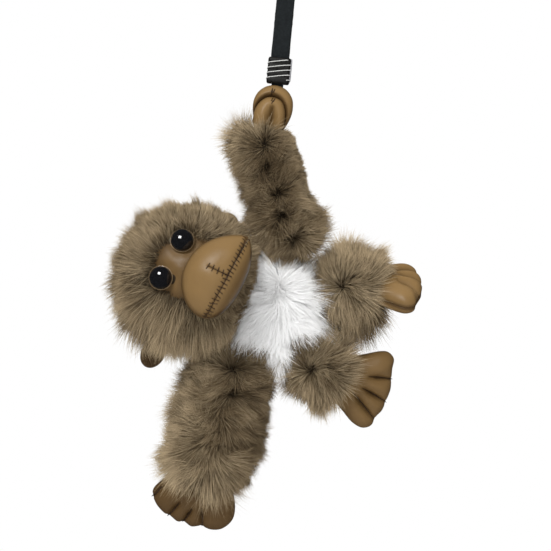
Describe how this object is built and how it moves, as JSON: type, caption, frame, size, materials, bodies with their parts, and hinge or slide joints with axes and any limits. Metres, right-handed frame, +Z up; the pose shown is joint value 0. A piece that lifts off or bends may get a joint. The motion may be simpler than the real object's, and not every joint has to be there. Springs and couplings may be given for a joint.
{
  "type": "stuffed monkey charm",
  "caption": "Plush monkey with long brown fur, white belly and leather face, hands and feet, hanging sideways by one hand from a webbing strap on a D-ring.",
  "frame": {"origin": "the highest point inside the D-ring, where the ring rests on what it hangs from", "axes": "+Z up along the taut strap, +X to the side the feet point to, -Y to the monkey's front"},
  "size_m": [0.1654, 0.0919, 0.3149],
  "materials": {
    "brown_fur": "long dense rabbit-like pile, taupe brown with lighter tips",
    "white_fur": "long dense white pile",
    "tan_leather": "soft smooth tan leather, semi-matt",
    "stuffing": "white polyester fibre filling",
    "black_gloss": "polished black",
    "white_plastic": "plain moulded washer",
    "black_webbing": "woven flat webbing",
    "black_leather": "smooth, semi-matt",
    "grey_edge": "painted cut edge",
    "white_thread": "twisted thread",
    "brown_thread": "twisted thread",
    "steel": "bent round wire, polished"
  },
  "bodies": {
    "ring": {"hang_ring": "steel"},
    "strap": {"strap_webbing": "black_webbing", "strap_bartack": "white_thread", "strap_keeper": "black_leather", "keeper_binding": "white_thread", "keeper_edge": "grey_edge"},
    "left_arm": {"strap_tongue": "black_webbing", "left_hand_fingers": "tan_leather", "left_hand_palm": "tan_leather", "left_hand_stuffing": "stuffing", "left_arm_fur": "brown_fur", "left_arm_stuffing": "stuffing"},
    "torso": {"torso_fur": "brown_fur", "belly_fur": "white_fur", "torso_stuffing": "stuffing"},
    "head": {"head_fur": "brown_fur", "head_stuffing": "stuffing", "face_mask": "tan_leather", "muzzle_upper": "tan_leather", "muzzle_lower": "tan_leather", "muzzle_stuffing": "stuffing", "mouth_seam": "brown_thread", "nose_seam": "brown_thread", "left_eye": "black_gloss", "right_eye": "black_gloss", "left_eye_washer": "white_plastic", "right_eye_washer": "white_plastic", "left_ear": "tan_leather", "right_ear": "tan_leather"},
    "right_arm": {"right_arm_fur": "brown_fur", "right_arm_stuffing": "stuffing", "right_hand_back": "tan_leather", "right_hand_palm": "tan_leather", "right_hand_stuffing": "stuffing"},
    "left_leg": {"left_leg_fur": "brown_fur", "left_leg_stuffing": "stuffing", "left_foot_upper": "tan_leather", "left_foot_sole": "tan_leather", "left_foot_stuffing": "stuffing"},
    "right_leg": {"right_leg_fur": "brown_fur", "right_leg_stuffing": "stuffing", "right_foot_upper": "tan_leather", "right_foot_sole": "tan_leather", "right_foot_stuffing": "stuffing"}
  },
  "joints": [
    {"name": "strap_swing", "type": "hinge", "parent": "ring", "child": "strap", "pos_m": [0, 0, -0.0095], "axis": [1, 0, 0], "range_deg": [-90, 90]},
    {"name": "hand_swing", "type": "hinge", "parent": "strap", "child": "left_arm", "pos_m": [0, 0, -0.0715], "axis": [1, 0, 0], "range_deg": [-20, 20]},
    {"name": "left_shoulder", "type": "hinge", "parent": "left_arm", "child": "torso", "pos_m": [0.01301, 0, -0.14728], "axis": [0.9367, 0, 0.3502], "range_deg": [-30, 30]},
    {"name": "neck_turn", "type": "hinge", "parent": "torso", "child": "head", "pos_m": [-0.03657, -0.005, -0.17886], "axis": [-0.9135, 0, 0.4067], "range_deg": [-25, 25]},
    {"name": "right_shoulder", "type": "hinge", "parent": "torso", "child": "right_arm", "pos_m": [-0.0091, 0.005, -0.23431], "axis": [0.9848, 0, -0.1736], "range_deg": [-45, 45]},
    {"name": "left_hip", "type": "hinge", "parent": "torso", "child": "left_leg", "pos_m": [0.05098, 0.006, -0.17436], "axis": [0, 0, 1], "range_deg": [-40, 25]},
    {"name": "right_hip", "type": "hinge", "parent": "torso", "child": "right_leg", "pos_m": [0.03977, 0.006, -0.2229], "axis": [0.2756, 0, 0.9613], "range_deg": [-40, 25]}
  ]
}
